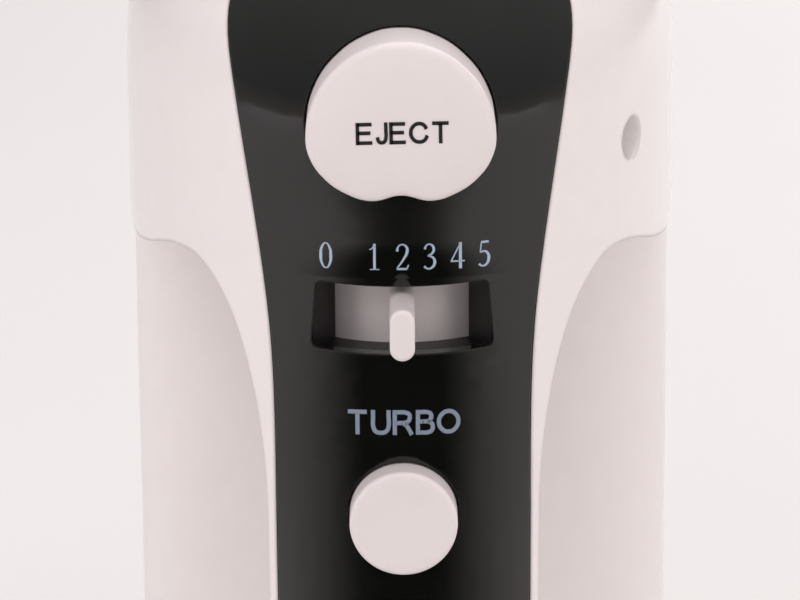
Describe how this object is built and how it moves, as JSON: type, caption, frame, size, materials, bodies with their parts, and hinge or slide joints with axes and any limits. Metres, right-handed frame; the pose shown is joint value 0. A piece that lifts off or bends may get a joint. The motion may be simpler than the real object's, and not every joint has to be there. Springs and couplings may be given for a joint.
{
  "type": "hand mixer",
  "caption": "Hand-held electric mixer standing on its heel, with a thumb ejector, a speed selector, a turbo button and two geared beaters.",
  "frame": {"origin": "centre of the heel pad's face, where the mixer stands", "axes": "+Z from the heel up to the nose, -Y is the side of the handle and its controls, +Y is the way the beaters point, +X to the right when the controls are seen from the front"},
  "size_m": [0.0948, 0.2735, 0.2059],
  "materials": {
    "body_white": "glossy moulded ABS",
    "panel_black": "high-gloss moulded ABS",
    "button_white": "satin moulded ABS",
    "black_plastic": "moulded",
    "nylon": "moulded",
    "rubber_dark": "moulded",
    "steel": "turned",
    "steel_plated": "bright plated",
    "lamination": "stacked and varnished",
    "copper_winding": "enamelled wire",
    "commutator_copper": "turned copper",
    "carbon": "pressed carbon",
    "spring_steel": "drawn wire",
    "die_cast": "die cast",
    "bronze": "sintered",
    "board_green": "printed circuit board",
    "component_grey": "moulded",
    "film_yellow": "moulded"
  },
  "bodies": {
    "housing": {"housing_right": "body_white", "housing_left": "body_white", "top_panel": "panel_black", "heel_pad": "rubber_dark", "cable_gland": "rubber_dark", "housing_screws": "steel", "socket_pad": "body_white", "selector_bezel": "black_plastic", "gear_frame": "die_cast", "gear_frame_screws": "steel", "thrust_bearing": "bronze", "rear_bearing": "bronze", "front_bearing": "bronze", "motor_rear_bracket": "die_cast", "motor_front_bracket": "die_cast", "stator_core": "lamination", "field_coil_left": "copper_winding", "field_coil_right": "copper_winding", "motor_bolts": "steel", "selector_pin": "steel", "speed_switch": "component_grey", "detent_spring": "spring_steel", "brush_left": "carbon", "brush_right": "carbon", "brush_holder_left": "black_plastic", "brush_holder_right": "black_plastic", "brush_spring_left": "spring_steel", "brush_spring_right": "spring_steel", "control_board": "board_green", "choke": "copper_winding", "triac": "component_grey", "film_capacitor": "film_yellow", "turbo_switch": "component_grey", "eject_spring": "spring_steel", "turbo_spring": "spring_steel"},
    "ejector": {"eject_button": "button_white", "ejector_plate": "nylon"},
    "turbo": {"turbo_button": "button_white"},
    "selector": {"speed_selector": "button_white"},
    "rotor": {"motor_shaft": "steel", "armature_core": "lamination", "armature_windings": "copper_winding", "commutator": "commutator_copper", "cooling_fan": "nylon", "worm": "steel"},
    "wheel_left": {"drive_wheel_left": "nylon", "retaining_clip_left": "spring_steel"},
    "wheel_right": {"drive_wheel_right": "nylon", "retaining_clip_right": "spring_steel"},
    "beater_left": {"beater_shaft_left": "steel_plated", "beater_collar_left": "steel_plated", "beater_loop_a_left": "steel_plated", "beater_loop_b_left": "steel_plated"},
    "beater_right": {"beater_shaft_right": "steel_plated", "beater_collar_right": "steel_plated", "beater_loop_a_right": "steel_plated", "beater_loop_b_right": "steel_plated"}
  },
  "joints": [
    {"name": "eject_press", "type": "slide", "parent": "housing", "child": "ejector", "axis": [0, 1, 0], "range_m": [0, 0.007], "stiffness_N_per_m": 600, "deforming": ["eject_spring"]},
    {"name": "turbo_press", "type": "slide", "parent": "housing", "child": "turbo", "axis": [0, 1, 0], "range_m": [0, 0.0025], "stiffness_N_per_m": 500, "deforming": ["turbo_spring"]},
    {"name": "speed_turn", "type": "hinge", "parent": "housing", "child": "selector", "pos_m": [0, -0.046, 0.142], "axis": [0, 0, 1], "range_deg": [-21, 24]},
    {"name": "motor_spin", "type": "hinge", "parent": "housing", "child": "rotor", "pos_m": [0, 0.029, 0.1], "axis": [0, 0, 1], "continuous": true},
    {"name": "wheel_left_spin", "type": "hinge", "parent": "housing", "child": "wheel_left", "pos_m": [-0.021, 0.029, 0.171], "axis": [0, 1, 0], "continuous": true},
    {"name": "wheel_right_spin", "type": "hinge", "parent": "housing", "child": "wheel_right", "pos_m": [0.021, 0.029, 0.171], "axis": [0, 1, 0], "continuous": true},
    {"name": "beater_left_eject", "type": "slide", "parent": "wheel_left", "child": "beater_left", "axis": [0, 1, 0], "range_m": [0, 0.007]},
    {"name": "beater_right_eject", "type": "slide", "parent": "wheel_right", "child": "beater_right", "axis": [0, 1, 0], "range_m": [0, 0.007]}
  ],
  "couplings": [
    {"joint": "wheel_right_spin", "follows": "motor_spin", "ratio": -0.0625},
    {"joint": "wheel_left_spin", "follows": "motor_spin", "ratio": 0.0625},
    {"joint": "beater_left_eject", "follows": "eject_press", "ratio": 1},
    {"joint": "beater_right_eject", "follows": "eject_press", "ratio": 1}
  ]
}
